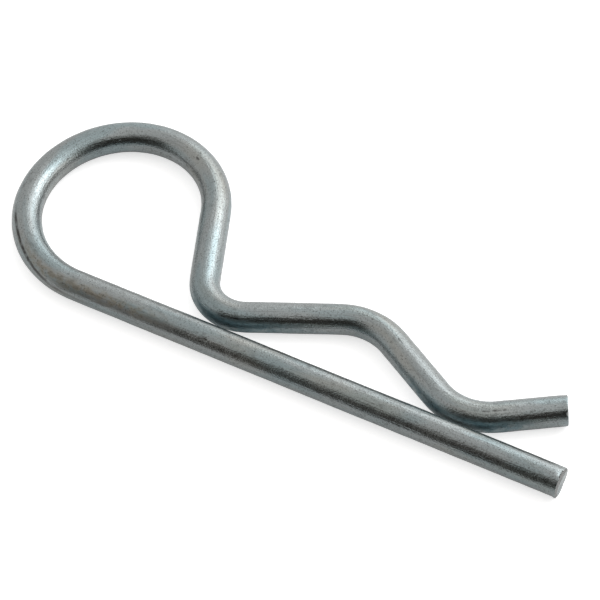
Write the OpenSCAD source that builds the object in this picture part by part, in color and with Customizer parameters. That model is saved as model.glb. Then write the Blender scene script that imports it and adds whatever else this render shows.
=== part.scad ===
// Hairpin cotter pin: one length of round spring wire, bent in a flat plane.
// The wire runs from the cut end of the straight leg, round the head loop and back
// along the wavy leg, which springs over the shaft, to its own cut end.
// It lies flat: straight leg along X with the head at -X, wavy leg on its +Y side.

/* [Wire] */
// Diameter of the spring wire
wire_d = 4.5; // [3:0.1:6]
// Edge break round each cut end
end_break = 0.3; // [0.1:0.05:0.8]
// How much the wire's diameter is drawn down in each bend
bend_thinning = 0.02; // [0.02:0.01:0.2]

/* [Straight leg] */
// Length of the straight leg, from the head loop to its cut end
leg_len = 78.6; // [74:0.2:110]

/* [Head loop] */
// Centreline radius of the loop where it leaves the straight leg
head_near_r = 14.6; // [13:0.1:18]
// Turn of the loop at that radius, in degrees
head_near_turn = 134; // [105:1:160]
// Centreline radius of the rest of the loop, towards the neck
head_far_r = 13.5; // [12:0.1:17]

/* [Neck] */
// Angle at which the neck comes back towards the straight leg
neck_angle = 67.5; // [55:0.5:80]
// Centreline radius of the bend below the neck
neck_bend_r = 6.4; // [5:0.1:9]
// Gap between that bend and the straight leg
neck_bend_gap = 0.7; // [0.2:0.05:3]

/* [Shaft seat] */
// Diameter of the shaft that the hump springs over
shaft_d = 19; // [16:0.5:24]
// Clearance between the shaft and the top of the hump
shaft_gap = 0.55; // [0:0.05:2]
// Centreline radius of the hump
hump_r = 9.9; // [7:0.1:13]
// Angle at which the wavy leg rises to the hump
rise_angle = 24.5; // [20:0.5:32]
// Angle at which it falls from the hump
fall_angle = 28.5; // [22:0.5:36]

/* [Mouth] */
// Centreline radius of the bend that closes on the straight leg
mouth_bend_r = 9.4; // [6:0.1:12]
// Gap between that bend and the straight leg
mouth_bend_gap = 0.15; // [0.1:0.05:3]
// Angle at which the tip flares away from the straight leg
flare_angle = 33; // [20:0.5:45]
// Length of the straight tip, up to its cut end
flare_len = 9.6; // [4:0.1:12]

/* [Hidden] */
$fn = 48;
wire_r = wire_d / 2;
bend_wire_r = (wire_d - bend_thinning) / 2;
// How far a straight run laps over the end of each bend that it meets. The bend is a
// little thinner there, so its end stays inside the straight run.
bend_lap = 0.1;

// A place along the wire is [x, y, heading], on the centreline, heading in degrees
// from +X. A bend turns left with a turn above 0 and right with one below 0.
function after_straight(at, length) =
    [at.x + length * cos(at.z), at.y + length * sin(at.z), at.z];
function bend_centre(at, radius, turn) =
    [at.x - sign(turn) * radius * sin(at.z), at.y + sign(turn) * radius * cos(at.z)];
function after_bend(at, radius, turn) =
    let (
        centre = bend_centre(at, radius, turn),
        heading = at.z + turn
    )
    [centre.x + sign(turn) * radius * sin(heading),
     centre.y - sign(turn) * radius * cos(heading),
     heading];

// Height lost or won in a bend between the level and a slope
function bend_height(radius, slope) = radius * (1 - cos(slope));

// Head loop: from the straight leg, which lies on y = 0, to the neck
head_start = [0, 0, 180];
head_far_turn = 180 + neck_angle - head_near_turn;
head_change = after_bend(head_start, head_near_r, -head_near_turn);
neck_start = after_bend(head_change, head_far_r, -head_far_turn);

// Neck: as long as brings the bend below it to its gap from the straight leg
neck_bend_y = wire_d + neck_bend_gap;
neck_drop = neck_start.y - neck_bend_y - bend_height(neck_bend_r, neck_angle);
neck_len = neck_drop / sin(neck_angle);
neck_bend_turn = neck_angle + rise_angle;
neck_bend_start = after_straight(neck_start, neck_len);
rise_start = after_bend(neck_bend_start, neck_bend_r, neck_bend_turn);

// Rise: as long as lifts the hump clear of the shaft, whose centre is on y = 0
hump_y = shaft_d / 2 + shaft_gap + wire_r;
rise_len = (hump_y - rise_start.y - bend_height(hump_r, rise_angle)) / sin(rise_angle);
hump_turn = rise_angle + fall_angle;
hump_start = after_straight(rise_start, rise_len);
fall_start = after_bend(hump_start, hump_r, -hump_turn);

// Fall: as long as brings the mouth bend to its gap from the straight leg
mouth_bend_y = wire_d + mouth_bend_gap;
fall_drop = fall_start.y - mouth_bend_y - bend_height(mouth_bend_r, fall_angle);
fall_len = fall_drop / sin(fall_angle);
mouth_bend_turn = fall_angle + flare_angle;
mouth_bend_start = after_straight(fall_start, fall_len);
flare_start = after_bend(mouth_bend_start, mouth_bend_r, mouth_bend_turn);

// Outer limits of the clip, from which it is centred over its own origin. The wavy
// leg's rim reaches furthest at its cut face or where its edge break begins.
head_x = -(head_near_r + bend_wire_r);
tip_end = after_straight(flare_start, flare_len);
cut_rim_x = max(
    (wire_r - end_break) * sin(flare_angle),
    wire_r * sin(flare_angle) - end_break * cos(flare_angle)
);
leg_x = max(leg_len, tip_end.x + cut_rim_x);
head_far_centre = bend_centre(head_change, head_far_r, -head_far_turn);
head_y = head_far_centre.y + head_far_r + bend_wire_r;
clip_origin = [(head_x + leg_x) / 2, (head_y - wire_r) / 2, -wire_r];

// A straight run of wire that starts at a place. It laps over the bend at either end,
// and a cut end has its edge broken instead.
module straight_run(at, length, cut = false) {
    body_len = cut ? length - end_break : length + bend_lap;
    translate([at.x, at.y, 0])
        rotate([0, 90, at.z]) {
            translate([0, 0, -bend_lap])
                cylinder(d = wire_d, h = body_len + bend_lap);
            if (cut)
                translate([0, 0, body_len])
                    cylinder(r1 = wire_r, r2 = wire_r - end_break, h = end_break);
        }
}

// A round bend of wire that starts at a place
module bend_run(at, radius, turn) {
    centre = bend_centre(at, radius, turn);
    first_angle = turn > 0 ? at.z - 90 : at.z + 90 + turn;
    translate([centre.x, centre.y, 0])
        rotate([0, 0, first_angle])
            rotate_extrude(angle = abs(turn))
                translate([radius, 0])
                    circle(r = bend_wire_r);
}

// The two bends of the loop meet end to end, so a straight run of no length joins them
// by its laps.
module head_loop() {
    bend_run(head_start, head_near_r, -head_near_turn);
    straight_run(head_change, 0);
    bend_run(head_change, head_far_r, -head_far_turn);
}

module wavy_leg() {
    straight_run(neck_start, neck_len);
    bend_run(neck_bend_start, neck_bend_r, neck_bend_turn);
    straight_run(rise_start, rise_len);
    bend_run(hump_start, hump_r, -hump_turn);
    straight_run(fall_start, fall_len);
    bend_run(mouth_bend_start, mouth_bend_r, mouth_bend_turn);
    straight_run(flare_start, flare_len, cut = true);
}

module clip_wire() {
    color([0.66, 0.68, 0.69])
        translate(-clip_origin) {
            straight_run([0, 0, 0], leg_len, cut = true);
            head_loop();
            wavy_leg();
        }
}

clip_wire();
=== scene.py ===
import math
from collections import namedtuple

import bpy
import numpy as np
from mathutils import Matrix, Vector


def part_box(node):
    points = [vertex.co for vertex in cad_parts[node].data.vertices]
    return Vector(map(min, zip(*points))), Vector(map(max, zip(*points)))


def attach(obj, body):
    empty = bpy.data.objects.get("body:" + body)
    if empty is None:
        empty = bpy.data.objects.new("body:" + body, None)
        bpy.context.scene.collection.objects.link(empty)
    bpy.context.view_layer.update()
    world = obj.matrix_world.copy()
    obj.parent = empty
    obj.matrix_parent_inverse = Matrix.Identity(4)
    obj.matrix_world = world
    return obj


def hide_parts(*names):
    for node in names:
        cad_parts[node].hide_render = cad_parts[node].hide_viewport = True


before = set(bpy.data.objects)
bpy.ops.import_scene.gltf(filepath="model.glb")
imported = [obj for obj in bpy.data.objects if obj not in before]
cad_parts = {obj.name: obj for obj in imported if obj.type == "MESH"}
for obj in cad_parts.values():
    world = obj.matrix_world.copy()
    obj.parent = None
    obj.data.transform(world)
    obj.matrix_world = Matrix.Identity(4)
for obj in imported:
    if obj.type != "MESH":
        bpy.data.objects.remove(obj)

bl_info = {
    "name": "Hairpin Cotter Pin",
    "version": (1, 0, 0),
    "blender": (4, 5, 0),
    "location": "3D View > Sidebar > Cotter Pin",
    "description": "Bends a zinc-plated hairpin cotter pin and sets it on a studio floor",
    "category": "Add Mesh",
}

MM = 0.001
CAD_LOW, CAD_HIGH = (Vector(corner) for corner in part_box("clip_wire"))
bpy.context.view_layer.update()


# Values that a user would change

def hex_to_linear(code):
    """Turns an sRGB hex colour into the linear colour that Blender's nodes work in."""
    levels = [int(code[i:i + 2], 16) / 255 for i in (0, 2, 4)]
    return tuple(c / 12.92 if c <= 0.04045 else ((c + 0.055) / 1.055) ** 2.4 for c in levels)


def length(name, description, mm):
    return bpy.props.FloatProperty(
        name=name, description=description, default=mm * MM, precision=5, unit="LENGTH"
    )


def angle(name, description, degrees):
    return bpy.props.FloatProperty(
        name=name, description=description, default=math.radians(degrees), subtype="ANGLE"
    )


def colour(name, description, code):
    return bpy.props.FloatVectorProperty(
        name=name, description=description, default=hex_to_linear(code), subtype="COLOR"
    )


def share(name, description, value):
    return bpy.props.FloatProperty(
        name=name, description=description, default=value, min=0.0, subtype="FACTOR"
    )


class ClipSizes(bpy.types.PropertyGroup):
    """Sizes of the bent wire, which are those of the CAD node that it stands for."""
    wire_d: length("Wire diameter", "Diameter of the spring wire", (CAD_HIGH.z - CAD_LOW.z) / MM)
    bend_thinning: length("Bend thinning", "How much thinner the wire is in a bend", 0.02)
    edge_roll: length("Edge roll", "Radius to which the shears roll each cut end's edge", 0.14)
    leg_len: length("Straight leg", "Length from the head loop to the cut end", 78.6)
    head_near_r: length("Head radius, near", "Loop radius where it leaves the straight leg", 14.6)
    head_near_turn: angle("Head turn, near", "Turn of the loop at that radius", 134)
    head_far_r: length("Head radius, far", "Loop radius towards the neck", 13.5)
    neck_angle: angle("Neck angle", "Angle at which the neck comes back to the straight leg", 67.5)
    neck_bend_r: length("Neck bend radius", "Centreline radius of the bend below the neck", 6.4)
    neck_bend_gap: length("Neck bend gap", "Gap between that bend and the straight leg", 0.7)
    shaft_d: length("Shaft diameter", "Diameter of the shaft under the hump", 19)
    shaft_gap: length("Shaft gap", "Clearance between the shaft and the hump", 0.55)
    hump_r: length("Hump radius", "Centreline radius of the hump", 9.9)
    rise_angle: angle("Rise angle", "Angle at which the wavy leg rises to the hump", 24.5)
    fall_angle: angle("Fall angle", "Angle at which it falls from the hump", 28.5)
    mouth_bend_r: length("Mouth bend radius", "Centreline radius of the bend at the mouth", 9.4)
    mouth_bend_gap: length("Mouth bend gap", "Gap between that bend and the straight leg", 0.15)
    flare_angle: angle("Flare angle", "Angle at which the tip flares away", 33)
    flare_len: length("Flare length", "Length of the straight tip", 9.6)
    ring_step: length("Ring step", "Distance between the rings, before they are subdivided", 0.5)
    ring_points: bpy.props.IntProperty(
        name="Ring points", description="Corners of each ring, before subdivision",
        default=40, min=12
    )


class PlatingLook(bpy.types.PropertyGroup):
    """Colours and finish of the zinc plate."""
    zinc: colour("Zinc", "Clean plate, a cool light grey", "919696")
    cool_tint: colour("Cool tint", "Thin blue passivation film", "829396")
    warm_tint: colour("Warm tint", "Thin straw-coloured passivation film", "989285")
    # Also the colour of the painted light where the legs all but touch
    bright_plate: colour("Bright plate", "Rubbed tops of the plate's crystals", "BFC5C5")
    # Painted shade: the darker, bluer plate painted where the legs face each other a few mm apart
    shade_between_legs: colour("Thin plate", "Thin, bluer plate where the legs face each other", "6E848A")
    stain: colour("Stain", "Brown drawing oil baked on where the loop was bent", "8E826D")
    sheared: colour("Sheared steel", "Bare torn steel of the cut ends", "7E7F7D")
    grime: colour("Grime", "Dark drawing soap and dirt held in pits and lines", "3A3836")
    roughness: share("Roughness", "Mean roughness of the satin plate", 0.24)


class StudioSettings(bpy.types.PropertyGroup):
    """Camera, floor and lights."""
    view_azimuth: angle("Azimuth", "Camera's turn from the -Y side towards +X", 33.9)
    view_elevation: angle("Elevation", "Camera's height over the floor", 52.31)
    view_roll: angle("Roll", "Camera's roll, which turns the picture counter-clockwise", 6.18)
    view_distance: length("Distance", "From the camera to the point that it looks at", 623)
    view_target: bpy.props.FloatVectorProperty(
        name="Target", description="Point in the middle of the picture", subtype="TRANSLATION",
        default=(-0.37 * MM, -2.51 * MM, 2.25 * MM), unit="LENGTH"
    )
    lens: bpy.props.FloatProperty(
        name="Lens", description="Focal length on a 36 mm sensor, in mm", default=261
    )
    light: share("Light", "Brightness of the softboxes and the room", 1.0)
    lamp_colour: colour("Lamps", "Daylight softboxes", "F6FBFF")
    room_colour: colour("Room", "Pale walls and ceiling", "FFFEFD")
    dark_colour: colour("Dark side", "Warm tint of the unlit wall in front", "FFF4E6")
    floor_colour: colour("Floor", "Pale floor", "D8D8D8")
    floor_glow: share("Floor glow", "What the camera sees beyond the lit floor", 0.68)
    mirrored_glow: share("Mirrored glow", "What metal shows beyond the lit floor", 0.25)


# The wire's path: straight runs and bends that follow on from each other

Run = namedtuple("Run", "start heading length radius turn along")


def heading_vector(heading):
    return Vector((math.cos(heading), math.sin(heading), 0))


def left_of(heading):
    return Vector((-math.sin(heading), math.cos(heading), 0))


def bend_centre(run):
    return run.start + left_of(run.heading) * math.copysign(run.radius, run.turn)


def run_end(run):
    """Place and heading at the end of a run."""
    if not run.turn:
        return run.start + heading_vector(run.heading) * run.length, run.heading
    turned = Matrix.Rotation(run.turn, 3, "Z") @ (run.start - bend_centre(run))
    return bend_centre(run) + turned, run.heading + run.turn


def bend_height(radius, slope):
    """Height lost or won in a bend between the level and a slope."""
    return radius * (1 - math.cos(slope))


def wire_runs(sizes):
    """The runs from the straight leg's cut end, round the head and along the wavy leg."""
    wire_r = sizes.wire_d / 2
    runs = []
    place = Vector((CAD_HIGH.x, 0, CAD_LOW.z + wire_r))
    heading = math.pi

    def go(run_length, radius=0.0, turn=0.0):
        nonlocal place, heading
        along = runs[-1].along + runs[-1].length if runs else 0.0
        runs.append(Run(place, heading, run_length, radius, turn, along))
        place, heading = run_end(runs[-1])

    def bend(radius, turn):
        go(radius * abs(turn), radius, turn)

    go(sizes.leg_len)
    bend(sizes.head_near_r, -sizes.head_near_turn)
    bend(sizes.head_far_r, -(math.pi + sizes.neck_angle - sizes.head_near_turn))

    low_y = sizes.wire_d + sizes.neck_bend_gap
    drop = place.y - low_y - bend_height(sizes.neck_bend_r, sizes.neck_angle)
    go(drop / math.sin(sizes.neck_angle))
    bend(sizes.neck_bend_r, sizes.neck_angle + sizes.rise_angle)

    hump_y = sizes.shaft_d / 2 + sizes.shaft_gap + wire_r
    lift = hump_y - place.y - bend_height(sizes.hump_r, sizes.rise_angle)
    go(lift / math.sin(sizes.rise_angle))
    bend(sizes.hump_r, -(sizes.rise_angle + sizes.fall_angle))

    low_y = sizes.wire_d + sizes.mouth_bend_gap
    drop = place.y - low_y - bend_height(sizes.mouth_bend_r, sizes.fall_angle)
    go(drop / math.sin(sizes.fall_angle))
    bend(sizes.mouth_bend_r, sizes.fall_angle + sizes.flare_angle)
    go(sizes.flare_len)

    # The clip is centred over the frame's origin, from the leg's side to the head's top.
    head_top = bend_centre(runs[2]).y + sizes.head_far_r + (sizes.wire_d - sizes.bend_thinning) / 2
    shift = Vector((0, (wire_r - head_top) / 2, 0))
    return [run._replace(start=run.start + shift) for run in runs]


def wire_point(runs, radius, along, round_angle):
    """Point and outward normal on the wire, by distance along it and angle from its left side."""
    run = max((r for r in runs if r.along <= along), key=lambda r: r.along)
    part = (along - run.along) / run.length
    place, heading = run_end(run._replace(length=run.length * part, turn=run.turn * part))
    normal = left_of(heading) * math.cos(round_angle) + Vector((0, 0, math.sin(round_angle)))
    return place + normal * radius, normal


# Bending the wire

def deselect_all():
    if bpy.context.object and bpy.context.object.mode == "EDIT":
        bpy.ops.object.mode_set(mode="OBJECT")
    bpy.ops.object.select_all(action="DESELECT")


def grow_ring(step, scale=1.0, centre=None):
    """Extrudes the selected ring by a step and scales the new ring about its centre."""
    bpy.ops.mesh.extrude_region_move(TRANSFORM_OT_translate={"value": step})
    if scale != 1.0:
        bpy.ops.transform.resize(value=(scale, scale, scale), center_override=centre)


# Rings across a cut face, and round its rolled edge
FACE_RINGS = 5
ROLL_RINGS = 3
# Corners closer than this are one
MERGE_DISTANCE = 0.001 * MM


def roll_profile(wire_r, roll):
    """Radius and depth of the rings that round a cut end, from its face to the full wire."""
    quarter = [i * math.pi / 2 / ROLL_RINGS for i in range(ROLL_RINGS + 1)]
    return [(wire_r - roll * (1 - math.sin(a)), roll * (1 - math.cos(a))) for a in quarter]


def ring_r(sizes):
    """Radius of a ring's corners, which subdivision draws in to the wire's own radius. A corner
    ends at two thirds of its own place and a sixth of each neighbour's."""
    return sizes.wire_d / 2 * 3 / (2 + math.cos(2 * math.pi / sizes.ring_points))


def start_end(place, heading, sizes):
    """The straight leg's cut face and rolled edge. Leaves the ring at the full wire selected."""
    profile = roll_profile(ring_r(sizes), sizes.edge_roll)
    face_r = profile[0][0]
    radius = face_r / FACE_RINGS
    bpy.ops.mesh.primitive_circle_add(
        vertices=sizes.ring_points, radius=radius, fill_type="TRIFAN",
        location=place, rotation=(0, math.pi / 2, 0)
    )
    bpy.ops.object.transform_apply(location=True, rotation=True, scale=True)
    bpy.ops.object.mode_set(mode="EDIT")
    bpy.ops.mesh.select_mode(type="EDGE")
    bpy.ops.mesh.select_all(action="SELECT")
    bpy.ops.mesh.region_to_loop()
    for i in range(2, FACE_RINGS + 1):
        grow_ring((0, 0, 0), i / (i - 1), place)
    depth = 0.0
    radius = face_r
    for new_radius, new_depth in profile[1:]:
        step = heading_vector(heading) * (new_depth - depth)
        centre = place + heading_vector(heading) * new_depth
        grow_ring(step, new_radius / radius, centre)
        radius, depth = new_radius, new_depth


def finish_end(place, heading, sizes):
    """The wavy leg's rolled edge and cut face, from the ring where the roll begins."""
    profile = roll_profile(ring_r(sizes), sizes.edge_roll)[::-1]
    radius, depth = profile[0]
    for new_radius, new_depth in profile[1:]:
        step = heading_vector(heading) * (depth - new_depth)
        grow_ring(step, new_radius / radius, place - heading_vector(heading) * new_depth)
        radius, depth = new_radius, new_depth
    for i in range(FACE_RINGS, 1, -1):
        grow_ring((0, 0, 0), (i - 1) / i, place)
    bpy.ops.mesh.edge_face_add()
    bpy.ops.mesh.poke()


def straight_run(run, sizes, first, last):
    """Extrudes the ring along a straight run. Its ends widen from a bend and narrow to one."""
    swell = sizes.wire_d / (sizes.wire_d - sizes.bend_thinning)
    skip_start = sizes.edge_roll if first else 0.0
    skip_end = sizes.edge_roll if last else 0.0
    direction = heading_vector(run.heading)
    body = run.length - skip_start - skip_end
    steps = math.ceil(body / sizes.ring_step)
    step = direction * (body / steps)
    middle_steps = steps
    if not first:
        grow_ring(step, swell, run.start + step)
        middle_steps -= 1
    if not last:
        middle_steps -= 1
    bpy.ops.mesh.extrude_repeat(steps=middle_steps, offset=step)
    if not last:
        grow_ring(step, 1 / swell, run_end(run)[0])


def bend_run(run, sizes):
    """Spins the ring round a bend. With no window, spin turns the other way."""
    bpy.ops.mesh.spin(
        steps=math.ceil(run.length / sizes.ring_step), dupli=False, angle=-run.turn,
        center=bend_centre(run), axis=(0, 0, 1)
    )


def smooth_rings(wire):
    """Halves the mesh's steps with one applied subdivision."""
    bpy.ops.object.mode_set(mode="OBJECT")
    rounding = wire.modifiers.new("rounding", "SUBSURF")
    rounding.levels = 1
    rounding.render_levels = 1
    bpy.ops.object.modifier_apply(modifier=rounding.name)
    bpy.ops.object.mode_set(mode="EDIT")


def move_spot(wire, point, offset, reach, falloff="SMOOTH"):
    """Pulls the surface at a point by an offset, softly over a reach round it."""
    bpy.ops.mesh.select_all(action="DESELECT")
    bpy.ops.object.mode_set(mode="OBJECT")
    mesh = wire.data
    places = np.empty(len(mesh.vertices) * 3)
    mesh.vertices.foreach_get("co", places)
    away = np.linalg.norm(places.reshape(-1, 3) - np.array(point), axis=1)
    mesh.vertices.foreach_set("select", away == away.min())
    bpy.ops.object.mode_set(mode="EDIT")
    bpy.ops.mesh.select_mode(type="VERT")
    bpy.ops.transform.translate(
        value=offset, use_proportional_edit=True, proportional_size=reach,
        proportional_edit_falloff=falloff
    )


# Handling marks: distance along the wire and length along it, both in mm, angle round it from
# its left side in degrees, and depth in mm
NICKS = (
    # The first nick, by the straight leg's cut end, is a small chip whose dark mark is partly
    # painted reflection: it continues the dark band reflected there
    (1.6, 0.7, 34, 0.02),
    (56.1, 0.5, 54, 0.04),
    (56.8, 0.3, 50, 0.02),
    (76.8, 0.3, 68, 0.03),
    (130.1, 0.45, 105, 0.04),
    (159.6, 0.8, 138, 0.03),
    (161.2, 0.6, 136, 0.03),
    (170.8, 0.5, 79, 0.02),
    (176.3, 0.3, 99, 0.02),
    (180.9, 0.3, 96, 0.03),
    (186.4, 0.9, 86, 0.03),
    (204.1, 0.4, 105, 0.03),
    (204.7, 0.3, 105, 0.03),
    (205.5, 0.4, 102, 0.04),
    (206.2, 0.3, 102, 0.03),
    (206.9, 0.4, 102, 0.03),
    (215.4, 0.3, 141, 0.02),
)
NICK_WIDTH = 0.15 * MM


def press_nicks(wire, runs, sizes):
    """Presses the handling marks into the wire."""
    for along, size, degrees, depth in NICKS:
        point, normal = wire_point(runs, sizes.wire_d / 2, along * MM, math.radians(degrees))
        move_spot(wire, point, normal * (-depth * MM), size * MM)


# What the shears leave on a cut end: angle round the wire in degrees, share of the wire's radius,
# push outwards and into the wire in mm, and reach in mm
Dent = namedtuple("Dent", "degrees share outwards inwards reach falloff", defaults=("SMOOTH",))
LEG_END_DENTS = (
    Dent(-120, 1.0, 0.0, 0.40, 4.5, "LINEAR"),
    Dent(-30, 1.0, 0.12, 0.0, 0.6),
    Dent(88, 1.0, -0.18, 0.0, 1.0),
    Dent(-75, 0.5, 0.0, 0.08, 1.2),
    Dent(70, 0.5, 0.0, 0.05, 0.8),
)
TIP_END_DENTS = (
    Dent(45, 1.0, 0.0, -0.30, 4.5, "LINEAR"),
    Dent(40, 1.0, -0.22, 0.0, 0.7),
    Dent(140, 1.0, 0.0, 0.24, 0.5),
    Dent(60, 0.5, 0.0, 0.06, 1.2),
)


def shape_ends(wire, runs, sizes):
    """Tilts and dishes the cut faces, draws their edges in on top, leaves a lip on the straight
    leg's end and tears a notch in the wavy leg's."""
    tip = runs[-1].along + runs[-1].length
    for along, into_wire, dents in (
        (0.0, heading_vector(runs[0].heading), LEG_END_DENTS),
        (tip, -heading_vector(runs[-1].heading), TIP_END_DENTS),
    ):
        for dent in dents:
            radius = sizes.wire_d / 2 * dent.share
            point, normal = wire_point(runs, radius, along, math.radians(dent.degrees))
            offset = (normal * dent.outwards + into_wire * dent.inwards) * MM
            move_spot(wire, point, offset, dent.reach * MM, dent.falloff)


# Size and depth of the unevenness that drawing and bending leave
WAVER_SIZE = 2.0 * MM
WAVER_DEPTH = 0.04 * MM


def roughen(wire):
    """Makes the wire slightly uneven, so that a straight reflection in it wavers. The surface
    only moves inwards."""
    uneven = bpy.data.textures.new("uneven_draw", "CLOUDS")
    uneven.noise_scale = WAVER_SIZE
    uneven.noise_depth = 1
    waver = wire.modifiers.new("waver", "DISPLACE")
    waver.texture = uneven
    waver.texture_coords = "LOCAL"
    waver.strength = WAVER_DEPTH
    waver.mid_level = 1.0
    bpy.ops.object.modifier_apply(modifier=waver.name)
    bpy.data.textures.remove(uneven)


# Marks on the mesh that the material reads

def unbend(mesh, places, runs):
    """Stores each vertex's place on the same wire unbent: along it, and across its section.
    Patterns that were made on the wire before it was bent follow this."""
    nearest = np.full(len(places), np.inf)
    unbent = np.zeros_like(places)
    for run in runs:
        flat = places[:, :2] - np.array(run.start.xy)
        if run.turn:
            centre = np.array((bend_centre(run) - run.start).xy)
            from_centre = flat - centre
            spin = math.copysign(1, run.turn)
            start_angle = math.atan2(-centre[1], -centre[0])
            swept = (np.arctan2(from_centre[:, 1], from_centre[:, 0]) - start_angle) * spin
            swept = (swept + math.pi / 2) % (2 * math.pi) - math.pi / 2
            past = np.maximum(swept - abs(run.turn), 0) + np.maximum(-swept, 0)
            along = swept * run.radius
            side = spin * (run.radius - np.linalg.norm(from_centre, axis=1))
            beyond = past * run.radius
        else:
            along = flat @ np.array(heading_vector(run.heading).xy)
            side = flat @ np.array(left_of(run.heading).xy)
            beyond = np.maximum(along - run.length, 0) + np.maximum(-along, 0)
        height = places[:, 2] - run.start.z
        away = np.hypot(side, height) + beyond
        better = away < nearest
        nearest = np.where(better, away, nearest)
        row = np.stack([run.along + along, side, height], axis=1)
        unbent[better] = row[better]
    layer = mesh.attributes.new("unbent", "FLOAT_VECTOR", "POINT")
    layer.data.foreach_set("vector", unbent.ravel())
    return unbent


def store(mesh, name, values):
    """Stores one number for each vertex."""
    layer = mesh.attributes.new(name, "FLOAT", "POINT")
    layer.data.foreach_set("value", values)


# A nick's mark ends at this many times its size, and one this deep, in mm, is marked in full
NICK_RIM = 1.4
FULL_NICK = 0.04


def mark_nicks(mesh, unbent, sizes):
    """Stores how much of a nick each vertex is in, from 0 to 1."""
    wire_r = sizes.wire_d / 2
    round_angle = np.arctan2(unbent[:, 2], unbent[:, 1])
    marks = np.zeros(len(unbent))
    for along, size, degrees, depth in NICKS:
        swing = (round_angle - math.radians(degrees) + math.pi) % (2 * math.pi) - math.pi
        away = np.hypot((unbent[:, 0] / MM - along) / size, swing * wire_r / NICK_WIDTH)
        mark = np.clip(NICK_RIM - away, 0, 1) * min(depth / FULL_NICK, 1)
        marks = np.maximum(marks, mark)
    store(mesh, "nicked", marks)


# How deep a cut face reaches, and how far inside the wire's side it ends, in edge rolls
FACE_DEPTH = 1.3
FACE_MARGIN = 0.6


def mark_cut_ends(mesh, unbent, runs, sizes):
    """Stores 1 on the two sheared faces, and 0 past the roll of their edges."""
    total = runs[-1].along + runs[-1].length
    from_end = np.minimum(unbent[:, 0], total - unbent[:, 0])
    inside = sizes.wire_d / 2 - np.hypot(unbent[:, 1], unbent[:, 2])
    deep = from_end < sizes.edge_roll * FACE_DEPTH
    face = deep & (inside > sizes.edge_roll * FACE_MARGIN)
    store(mesh, "sheared", face.astype(float))


# Gaps beyond which no shade is painted between the legs and no light where they all but touch, the
# step between the points that are looked at along the wire, and the length that counts as the same
# stretch
SHADE_REACH = 7.0 * MM
TOUCH_REACH = 1.2 * MM
LOOK_STEP = 1.0 * MM
SAME_STRETCH = 30.0 * MM


def mark_close_stretches(mesh, places, unbent, runs, sizes):
    """Stores how much the wire faces another stretch of itself close by, from 0 to 1: one number
    where the gap is up to a few mm, and one where the legs all but touch. The material paints
    shade between the legs from the first, as a darker, bluer plate, and paints light from the
    second."""
    normals = np.empty(len(places) * 3)
    mesh.vertices.foreach_get("normal", normals)
    normals = normals.reshape(-1, 3)
    total = runs[-1].along + runs[-1].length
    facing_near = np.zeros(len(places))
    all_but_touching = np.zeros(len(places))
    for along in np.arange(0, total, LOOK_STEP):
        centre, _ = wire_point(runs, 0.0, float(along), 0.0)
        towards = np.array(centre) - places
        away = np.linalg.norm(towards, axis=1)
        facing_it = np.clip(np.einsum("ij,ij->i", normals, towards) / away, 0, 1)
        facing_it *= np.abs(unbent[:, 0] - along) > SAME_STRETCH
        gap = away - sizes.wire_d / 2
        touching = np.clip(1 - gap / TOUCH_REACH, 0, 1)
        near = np.clip(1 - gap / SHADE_REACH, 0, 1) * (1 - touching)
        facing_near = np.maximum(facing_near, facing_it * near)
        all_but_touching = np.maximum(all_but_touching, facing_it * touching)
    store(mesh, "facing_near", facing_near)
    store(mesh, "all_but_touching", all_but_touching)


# Materials

# A Mix node has sockets for each type of value. These are its colours' and its numbers'.
COLOUR_A, COLOUR_B, COLOUR_OUT = 6, 7, 2
NUMBER_A, NUMBER_B = 2, 3


def add_node(tree, kind, sockets=None, **settings):
    """Adds a node with its settings. Each input named takes a value, or a link from an output."""
    node = tree.nodes.new("ShaderNode" + kind)
    for name, value in settings.items():
        setattr(node, name, value)
    for socket, source in (sockets or {}).items():
        if isinstance(source, bpy.types.NodeSocket):
            tree.links.new(source, node.inputs[socket])
        else:
            node.inputs[socket].default_value = source
    return node.outputs


def new_material(name):
    material = bpy.data.materials.new(name)
    material.use_nodes = True
    tree = material.node_tree
    tree.nodes.clear()
    return material, tree


def per_mm(size):
    """Scale of a pattern in metres whose features measure a size in mm."""
    return 1 / (size * MM)


# Noise patterns: size of their features in mm, detail, and how much they are drawn out along the
# wire. The plate's crystals measure about 0.02 mm and the draw lines about 0.05 mm. Both are too
# fine to show in a picture of the whole clip, so grain and draw_lines are this much coarser.
NOISES = (
    ("grain", 0.24, 3.0, 1.0),
    ("mottle", 0.8, 3.0, 1.5),
    ("draw_lines", 0.20, 2.0, 40.0),
    ("films", 2.2, 2.0, 6.0),
    ("warm_films", 3.1, 2.0, 5.0),
    ("torn", 0.25, 3.0, 1.0),
)
# Spacing of the pits in mm, the share of them that show, and their largest radius in spacings
PIT_SPACING = 1.9
PIT_SHARE = 0.30
PIT_RADIUS = 0.07
# The bending tool's line rises round the wire between two places along it.
DIE_LINE_PLACES = (76 * MM, 92 * MM)
DIE_LINE_ANGLES = (math.radians(2), math.radians(50))

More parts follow.
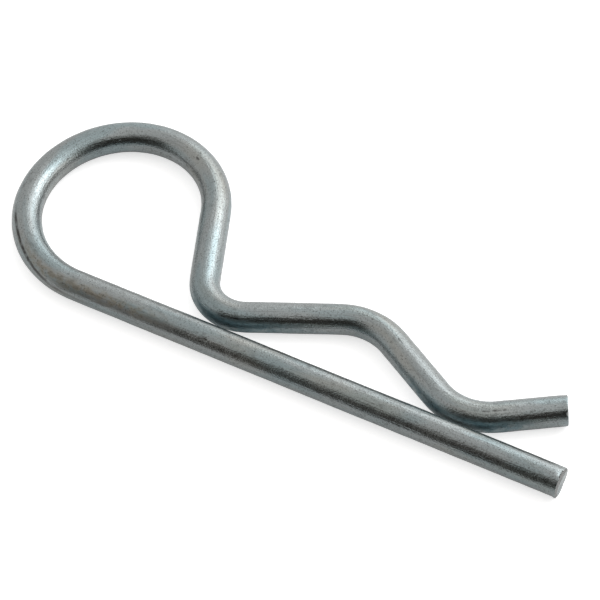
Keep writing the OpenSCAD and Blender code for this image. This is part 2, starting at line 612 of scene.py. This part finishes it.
# Masks: the pattern that each is made from, two values of it between which the mask changes
# softly, and the mask's strength at each. Along the wire they are metres, and round it radians.
MASKS = (
    ("cool", "films", 0.40, 0.66, 0.0, 0.6),
    ("warm", "warm_films", 0.50, 0.72, 0.0, 0.3),
    # Painted shade between the legs, where they face each other a few mm apart
    ("close", "facing_near", 0.05, 0.6, 0.0, 1.0),
    ("shade_patches", "mottle", 0.38, 0.60, 0.45, 0.90),
    ("bright_grain", "grain", 0.46, 0.25, 0.0, 0.16),
    # Painted light where the legs all but touch, lifting the dark gap between them
    ("painted_gap_light", "all_but_touching", 0.1, 0.8, 0.0, 0.7),
    ("baked_from", "along", 58 * MM, 70 * MM, 0.0, 1.0),
    ("baked_to", "along", 80 * MM, 98 * MM, 1.0, 0.0),
    ("baked_below", "round", 0.3, 0.8, 0.0, 1.0),
    ("baked_above", "round", 1.6, 0.9, 0.0, 1.0),
    ("stain_patches", "mottle", 0.34, 0.62, 0.05, 0.55),
    ("soiled", "mottle", 0.54, 0.80, 0.0, 0.45),
    ("lined", "draw_lines", 0.54, 0.76, 0.0, 0.30),
    ("speckled", "grain", 0.52, 0.78, 0.0, 0.75),
    ("in_nick", "nicked", 0.15, 0.75, 0.0, 1.0),
    ("nick_grain", "grain", 0.3, 0.6, 0.4, 1.0),
    ("pitted", "pit_depth", 0.0, 0.03, 0.0, 0.45),
    ("die_line", "off_die_line", 0.05, 0.17, 1.0, 0.0),
    ("die_from", "along", 70 * MM, 88 * MM, 0.0, 1.0),
    ("die_to", "along", 93 * MM, 96 * MM, 0.95, 0.0),
    ("die_patches", "mottle", 0.35, 0.55, 0.5, 1.0),
    ("torn_dark", "torn", 0.40, 0.70, 0.0, 0.7),
)

# Masks that join others
JOINED_MASKS = (
    # Painted shade between the legs, in patches; the same mask also roughens the plate there
    ("dull_and_shaded", "MULTIPLY", ("close", "shade_patches")),
    # The plate's own bright grain, and painted light where the legs all but touch
    ("bright", "MAXIMUM", ("bright_grain", "painted_gap_light")),
    ("baked", "MULTIPLY", ("baked_from", "baked_to", "baked_below", "baked_above")),
    ("stained", "MULTIPLY", ("baked", "stain_patches")),
    ("scraped", "MULTIPLY", ("in_nick", "nick_grain")),
    ("die_mark", "MULTIPLY", ("die_line", "die_from", "die_to", "die_patches")),
    ("dirty", "MAXIMUM", ("soiled", "lined", "speckled", "pitted", "scraped", "die_mark")),
    ("torn_steel", "MULTIPLY", ("torn", "sheared")),
)
# Two values of the mottle, what each adds to the mean roughness, and the masks that add more
ROUGH_PATCHES = (0.3, 0.7)
ROUGH_CHANGES = (-0.03, 0.04)
ROUGH_MASKS = (("sheared", 0.15), ("baked", 0.25), ("dull_and_shaded", 0.25))
# Height of the relief, and each pattern's share of it, below 0 where it presses inwards
RELIEF_HEIGHT = 0.045 * MM
RELIEF = (
    ("grain", 0.9),
    ("draw_lines", 0.65),
    ("mottle", 0.2),
    ("pitted", -1.5),
    ("die_mark", -1.5),
    ("torn_steel", 4.0),
)


def wire_patterns(tree):
    """Outputs by name: places on the unbent wire, marks on the mesh, noises and masks."""
    unbent = add_node(tree, "Attribute", attribute_name="unbent")["Vector"]
    axes = add_node(tree, "SeparateXYZ", {"Vector": unbent})
    patterns = {
        "along": axes["X"],
        "round": add_node(tree, "Math", {0: axes["Z"], 1: axes["Y"]}, operation="ARCTAN2")[0],
    }
    for name in ("nicked", "sheared", "facing_near", "all_but_touching"):
        patterns[name] = add_node(tree, "Attribute", attribute_name=name)["Fac"]
    for name, size, detail, stretch in NOISES:
        scale = (per_mm(size * stretch), per_mm(size), per_mm(size))
        place = add_node(tree, "Mapping", {"Vector": unbent, "Scale": scale})[0]
        patterns[name] = add_node(
            tree, "TexNoise", {"Vector": place, "Scale": 1.0, "Detail": detail}
        )["Fac"]

    pits = add_node(tree, "TexVoronoi", {"Vector": unbent, "Scale": per_mm(PIT_SPACING)})
    chance = add_node(tree, "SeparateColor", {"Color": pits["Color"]})["Red"]
    pit_size = add_node(
        tree, "MapRange", {"Value": chance, "From Min": 1 - PIT_SHARE, "To Max": PIT_RADIUS},
        interpolation_type="SMOOTHSTEP"
    )["Result"]
    patterns["pit_depth"] = add_node(
        tree, "Math", {0: pit_size, 1: pits["Distance"]}, operation="SUBTRACT"
    )[0]
    die_angle = add_node(tree, "MapRange", {
        "Value": patterns["along"],
        "From Min": DIE_LINE_PLACES[0], "From Max": DIE_LINE_PLACES[1],
        "To Min": DIE_LINE_ANGLES[0], "To Max": DIE_LINE_ANGLES[1],
    }, interpolation_type="SMOOTHSTEP")["Result"]
    off = add_node(tree, "Math", {0: patterns["round"], 1: die_angle}, operation="SUBTRACT")[0]
    patterns["off_die_line"] = add_node(tree, "Math", {0: off}, operation="ABSOLUTE")[0]

    for name, pattern, first, last, at_first, at_last in MASKS:
        patterns[name] = add_node(tree, "MapRange", {
            "Value": patterns[pattern], "From Min": first, "From Max": last,
            "To Min": at_first, "To Max": at_last,
        }, interpolation_type="SMOOTHSTEP")["Result"]
    for name, operation, parts in JOINED_MASKS:
        joined = patterns[parts[0]]
        for part in parts[1:]:
            joined = add_node(tree, "Math", {0: joined, 1: patterns[part]}, operation=operation)[0]
        patterns[name] = joined
    return patterns


def zinc_plated_drawn_wire(look):
    """Spring steel wire, drawn through dies, bent, sheared and barrel zinc plated. The plate is
    satin with a fine grain, faint draw lines run along it, and passivation films tint it blue and
    straw.
    Oil is baked on brown where the loop begins, and dirt darkens the pits, the nicks and the line
    that the bending tool scored. Shade is painted in where the legs face each other, as a darker,
    bluer and duller plate, and light where they all but touch, as brighter plate. The cut ends are
    bare torn steel."""
    material, tree = new_material("zinc_plated_drawn_wire")
    patterns = wire_patterns(tree)

    plate = (*look.zinc, 1)
    for name, tint in (
        ("cool", look.cool_tint),
        ("warm", look.warm_tint),
        # Painted shade between the legs
        ("dull_and_shaded", look.shade_between_legs),
        # Bright grain, and painted light where the legs all but touch
        ("bright", look.bright_plate),
        ("stained", look.stain),
        ("dirty", look.grime),
    ):
        plate = add_node(
            tree, "Mix", {0: patterns[name], COLOUR_A: plate, COLOUR_B: (*tint, 1)},
            data_type="RGBA"
        )[COLOUR_OUT]
    bare = add_node(tree, "Mix", {
        0: patterns["torn_dark"], COLOUR_A: (*look.sheared, 1), COLOUR_B: (*look.grime, 1),
    }, data_type="RGBA")[COLOUR_OUT]
    surface = add_node(
        tree, "Mix", {0: patterns["sheared"], COLOUR_A: plate, COLOUR_B: bare}, data_type="RGBA"
    )[COLOUR_OUT]

    roughness = add_node(tree, "MapRange", {
        "Value": patterns["mottle"],
        "From Min": ROUGH_PATCHES[0], "From Max": ROUGH_PATCHES[1],
        "To Min": look.roughness + ROUGH_CHANGES[0], "To Max": look.roughness + ROUGH_CHANGES[1],
    }, interpolation_type="SMOOTHSTEP")["Result"]
    for name, strength in ROUGH_MASKS:
        roughness = add_node(
            tree, "Math", {0: patterns[name], 1: strength, 2: roughness}, operation="MULTIPLY_ADD"
        )[0]
    height = 0.0
    for name, strength in RELIEF:
        height = add_node(
            tree, "Math", {0: patterns[name], 1: strength, 2: height}, operation="MULTIPLY_ADD"
        )[0]
    bump = add_node(tree, "Bump", {"Strength": 1.0, "Distance": RELIEF_HEIGHT, "Height": height})

    shader = add_node(tree, "BsdfPrincipled", {
        "Metallic": 1.0, "Base Color": surface, "Roughness": roughness, "Normal": bump[0],
    })
    add_node(tree, "OutputMaterial", {"Surface": shader[0]})
    return material


# Glossy coat of the floor's board
COAT_IOR = 1.9
COAT_ROUGHNESS = 0.15


def coated_floor(studio):
    """White board with a glossy coat. It takes the clip's soft shadow, and shows white to the
    camera and in the metal, but that extra glow lights nothing. The camera's share is larger,
    which only thins the shadow, because the open board is white either way. The coat shows at
    the low angles at which the metal mirrors the board, and not to the camera."""
    material, tree = new_material("coated_white_board")
    board = add_node(tree, "BsdfDiffuse", {"Color": (*studio.floor_colour, 1)})[0]
    path = add_node(tree, "LightPath")
    mirrored = add_node(
        tree, "Math", {0: path["Is Glossy Ray"], 1: path["Is Transmission Ray"]},
        operation="MAXIMUM"
    )[0]
    seen_glow = add_node(
        tree, "Math", {0: path["Is Camera Ray"], 1: studio.floor_glow}, operation="MULTIPLY"
    )[0]
    glow = add_node(
        tree, "Math", {0: mirrored, 1: studio.mirrored_glow, 2: seen_glow},
        operation="MULTIPLY_ADD"
    )[0]
    glowing = add_node(tree, "Emission", {"Strength": glow})[0]
    white = add_node(tree, "AddShader", {0: board, 1: glowing})[0]
    coat = add_node(tree, "BsdfGlossy", {"Roughness": COAT_ROUGHNESS})[0]
    fresnel = add_node(tree, "Fresnel", {"IOR": COAT_IOR})[0]
    coated = add_node(tree, "Math", {0: fresnel, 1: mirrored}, operation="MULTIPLY")[0]
    surface = add_node(tree, "MixShader", {0: coated, 1: white, 2: coat})[0]
    add_node(tree, "OutputMaterial", {"Surface": surface})
    return material


# The stage

def direction(azimuth, elevation):
    """Unit vector to a place seen at an azimuth, from +X towards +Y, and an elevation."""
    level = math.cos(elevation)
    return Vector((math.cos(azimuth) * level, math.sin(azimuth) * level, math.sin(elevation)))


def facing(place, target, roll=0.0):
    """Matrix of a lamp or camera at a place that looks at a target."""
    turn = (target - place).to_track_quat("-Z", "Y").to_matrix().to_4x4()
    return Matrix.Translation(place) @ turn @ Matrix.Rotation(roll, 4, "Z")


FLOOR_SIZE = 6.0
# The floor stays just clear of the clip's lowest points
FLOOR_GAP = 0.01 * MM


def add_floor(studio):
    deselect_all()
    bpy.ops.mesh.primitive_plane_add(size=FLOOR_SIZE, location=(0, 0, CAD_LOW.z - FLOOR_GAP))
    floor = bpy.context.object
    floor.name = "studio_floor"
    bpy.ops.object.transform_apply(location=True, rotation=True, scale=True)
    floor.data.materials.append(coated_floor(studio))


# Softboxes behind the clip: where each stands, from +X towards +Y and over the floor, in
# degrees, its distance and size in metres, and its brightness, where white is 1
Softbox = namedtuple("Softbox", "name azimuth elevation distance width height radiance")
SOFTBOXES = (
    Softbox("key_softbox", 56, 41, 0.34, 0.24, 0.20, 2.65),
    Softbox("wide_panel", 100, 36, 0.33, 0.13, 0.17, 1.15),
)


def add_softbox(box, studio):
    data = bpy.data.lights.new(box.name, "AREA")
    data.shape = "RECTANGLE"
    data.size = box.width
    data.size_y = box.height
    data.color = studio.lamp_colour
    data.energy = box.radiance * studio.light * math.pi * box.width * box.height
    lamp = bpy.data.objects.new(box.name, data)
    bpy.context.scene.collection.objects.link(lamp)
    away = direction(math.radians(box.azimuth), math.radians(box.elevation)) * box.distance
    lamp.matrix_world = facing(studio.view_target + away, studio.view_target)


# Brightness of the room round the clip, where white is 1, and its brightest side's azimuth and
# elevation in degrees
ROOM_DIM = 0.82
ROOM_BRIGHT = 1.70
ROOM_DARK = 0.05
BRIGHT_SIDE = (35, -8)
# The cosine of the angle from that side at which the room is as dim as it gets
DIM_FROM = -0.6
# The unlit wall in front, in degrees: its azimuth and elevation, and the angles to either side
# and over the floor at which it begins and at which it is fully dark
DARK_SIDE = (-65, 0)
DARK_ACROSS = (69, 48)
DARK_OVER = (66, 48)


def light_room(studio):
    """The room's own soft light: paler towards the back right, and dark on the front side, where
    the wall is unlit."""
    world = bpy.data.worlds.new("studio_room")
    bpy.context.scene.world = world
    world.use_nodes = True
    tree = world.node_tree
    tree.nodes.clear()
    towards = add_node(tree, "TexCoord")["Generated"]
    bright_side, dark_side = (
        add_node(
            tree, "VectorMath", {0: towards, 1: direction(*(math.radians(a) for a in side))},
            operation="DOT_PRODUCT"
        )["Value"]
        for side in (BRIGHT_SIDE, DARK_SIDE)
    )
    walls = add_node(tree, "MapRange", {
        "Value": bright_side, "From Min": DIM_FROM, "To Min": ROOM_DIM, "To Max": ROOM_BRIGHT,
    }, interpolation_type="SMOOTHSTEP")["Result"]

    # What is level of a direction is the root of 1 less its rise squared.
    rise = add_node(tree, "SeparateXYZ", {"Vector": towards})["Z"]
    squared = add_node(tree, "Math", {0: rise, 1: rise}, operation="MULTIPLY")[0]
    left_over = add_node(tree, "Math", {0: 1.0, 1: squared}, operation="SUBTRACT")[0]
    level_share = add_node(tree, "Math", {0: left_over}, operation="SQRT")[0]
    across = add_node(tree, "Math", {0: dark_side, 1: level_share}, operation="DIVIDE")[0]
    shades = [
        add_node(
            tree, "MapRange", {"Value": value, "From Min": begins, "From Max": full},
            interpolation_type="SMOOTHSTEP"
        )["Result"]
        for value, begins, full in (
            (across, *(math.cos(math.radians(a)) for a in DARK_ACROSS)),
            (rise, *(math.sin(math.radians(a)) for a in DARK_OVER)),
        )
    ]
    shade = add_node(tree, "Math", {0: shades[0], 1: shades[1]}, operation="MULTIPLY")[0]
    level = add_node(
        tree, "Mix", {0: shade, NUMBER_A: walls, NUMBER_B: ROOM_DARK}, data_type="FLOAT"
    )[0]
    level = add_node(tree, "Math", {0: level, 1: studio.light}, operation="MULTIPLY")[0]
    tint = add_node(tree, "Mix", {
        0: shade, COLOUR_A: (*studio.room_colour, 1), COLOUR_B: (*studio.dark_colour, 1),
    }, data_type="RGBA")[COLOUR_OUT]
    background = add_node(tree, "Background", {"Strength": level, "Color": tint})[0]
    add_node(tree, "OutputWorld", {"Surface": background})


def add_camera(studio):
    data = bpy.data.cameras.new("camera")
    data.lens = studio.lens
    data.sensor_width = 36
    data.clip_start = 0.01
    data.clip_end = 50
    camera = bpy.data.objects.new("camera", data)
    bpy.context.scene.collection.objects.link(camera)
    target = studio.view_target
    back = direction(studio.view_azimuth - math.pi / 2, studio.view_elevation)
    place = target + back * studio.view_distance
    camera.matrix_world = facing(place, target, -studio.view_roll)
    bpy.context.scene.camera = camera


# Operators and panel

class CLIP_OT_bend_wire(bpy.types.Operator):
    """Bends and finishes the clip's one length of wire"""
    bl_idname = "clip.bend_wire"
    bl_label = "Bend Wire"

    def execute(self, context):
        sizes = context.scene.clip_sizes
        runs = wire_runs(sizes)
        deselect_all()
        start_end(runs[0].start, runs[0].heading, sizes)
        wire = bpy.context.object
        wire.name = "zinc_plated_clip"
        for run in runs:
            if run.turn:
                bend_run(run, sizes)
            else:
                straight_run(run, sizes, run is runs[0], run is runs[-1])
        finish_end(*run_end(runs[-1]), sizes)
        bpy.ops.mesh.select_all(action="SELECT")
        bpy.ops.mesh.remove_doubles(threshold=MERGE_DISTANCE)
        bpy.ops.mesh.normals_make_consistent(inside=False)
        smooth_rings(wire)
        press_nicks(wire, runs, sizes)
        shape_ends(wire, runs, sizes)
        bpy.ops.object.mode_set(mode="OBJECT")
        bpy.ops.object.shade_smooth()
        mesh = wire.data
        places = np.empty(len(mesh.vertices) * 3)
        mesh.vertices.foreach_get("co", places)
        places = places.reshape(-1, 3)
        unbent = unbend(mesh, places, runs)
        mark_nicks(mesh, unbent, sizes)
        mark_cut_ends(mesh, unbent, runs, sizes)
        mark_close_stretches(mesh, places, unbent, runs, sizes)
        roughen(wire)
        mesh.materials.append(zinc_plated_drawn_wire(context.scene.plating_look))
        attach(wire, "root")
        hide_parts("clip_wire")
        return {"FINISHED"}


class CLIP_OT_set_stage(bpy.types.Operator):
    """Adds the floor, the lights and the camera"""
    bl_idname = "clip.set_stage"
    bl_label = "Set Stage"

    def execute(self, context):
        studio = context.scene.clip_studio
        add_floor(studio)
        for box in SOFTBOXES:
            add_softbox(box, studio)
        light_room(studio)
        add_camera(studio)
        context.scene.view_settings.view_transform = "Standard"
        return {"FINISHED"}


class CLIP_PT_panel(bpy.types.Panel):
    """Lists the clip's operators"""
    bl_idname = "CLIP_PT_panel"
    bl_label = "Hairpin Cotter Pin"
    bl_space_type = "VIEW_3D"
    bl_region_type = "UI"
    bl_category = "Cotter Pin"

    def draw(self, context):
        for operator in (CLIP_OT_bend_wire, CLIP_OT_set_stage):
            self.layout.operator(operator.bl_idname)


CLASSES = (
    ClipSizes,
    PlatingLook,
    StudioSettings,
    CLIP_OT_bend_wire,
    CLIP_OT_set_stage,
    CLIP_PT_panel,
)


def register():
    for cls in CLASSES:
        bpy.utils.register_class(cls)
    bpy.types.Scene.clip_sizes = bpy.props.PointerProperty(type=ClipSizes)
    bpy.types.Scene.plating_look = bpy.props.PointerProperty(type=PlatingLook)
    bpy.types.Scene.clip_studio = bpy.props.PointerProperty(type=StudioSettings)


def unregister():
    del bpy.types.Scene.clip_studio
    del bpy.types.Scene.plating_look
    del bpy.types.Scene.clip_sizes
    for cls in reversed(CLASSES):
        bpy.utils.unregister_class(cls)


def main():
    register()
    bpy.ops.clip.bend_wire()
    bpy.ops.clip.set_stage()


if __name__ == "__main__":
    main()
